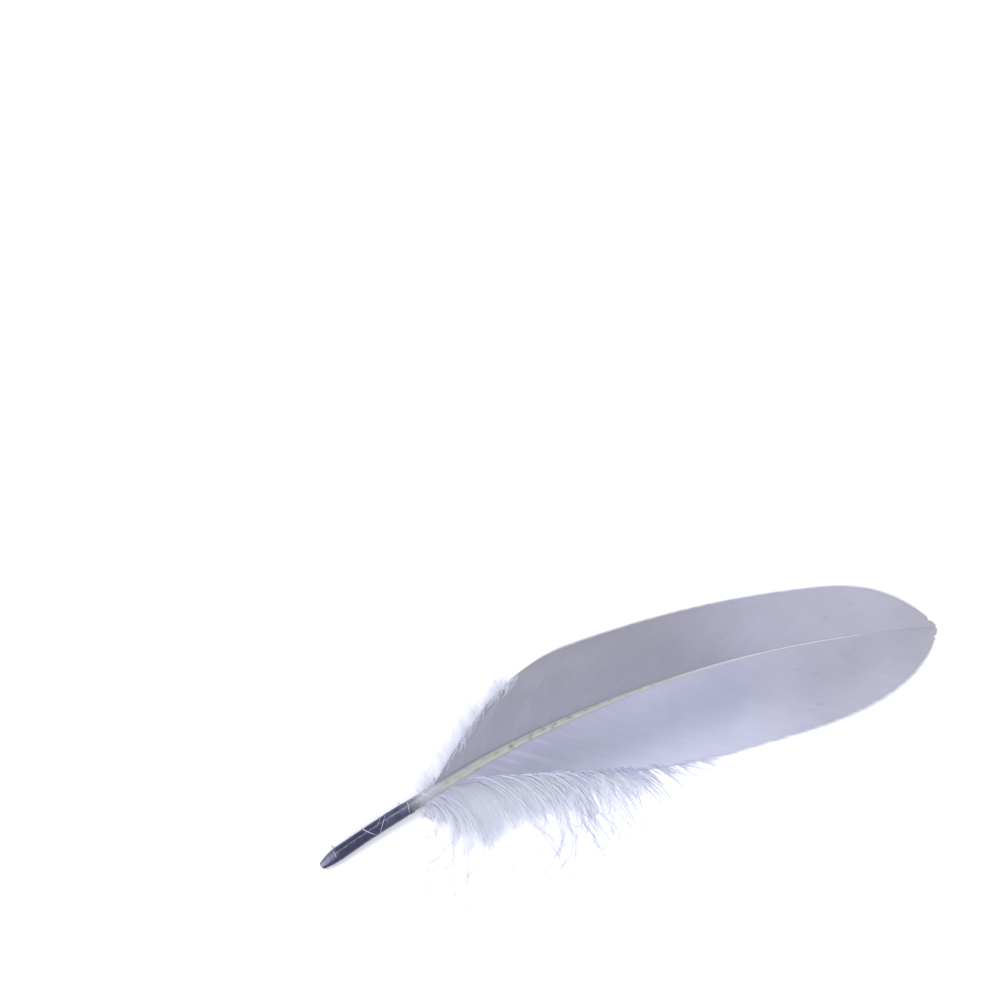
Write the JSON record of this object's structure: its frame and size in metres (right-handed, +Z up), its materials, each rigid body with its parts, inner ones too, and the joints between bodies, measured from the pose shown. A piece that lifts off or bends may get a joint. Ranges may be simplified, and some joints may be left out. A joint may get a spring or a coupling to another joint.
{
  "type": "goose quill feather",
  "caption": "Lavender-grey dyed goose quill feather with a dark bare quill, pale shaft, two smooth vanes and loose down at the base, lying flat.",
  "frame": {"origin": "on the table, below the middle of the feather's box", "axes": "+X from the cut quill end to the tip, +Y towards the leading vane, +Z up from the table"},
  "size_m": [0.1716, 0.051, 0.0058],
  "materials": {
    "quill_horn": "polished horn, dyed blue-black on the bare quill and cream on the shaft",
    "vane_barbs": "satin lavender-grey barbs, zipped into a smooth web",
    "down": "loose pale lavender down, soft and translucent"
  },
  "bodies": {
    "root": {"shaft": "quill_horn", "leading_vane": "vane_barbs", "trailing_vane": "vane_barbs", "leading_down": "down", "trailing_down": "down"}
  },
  "joints": []
}
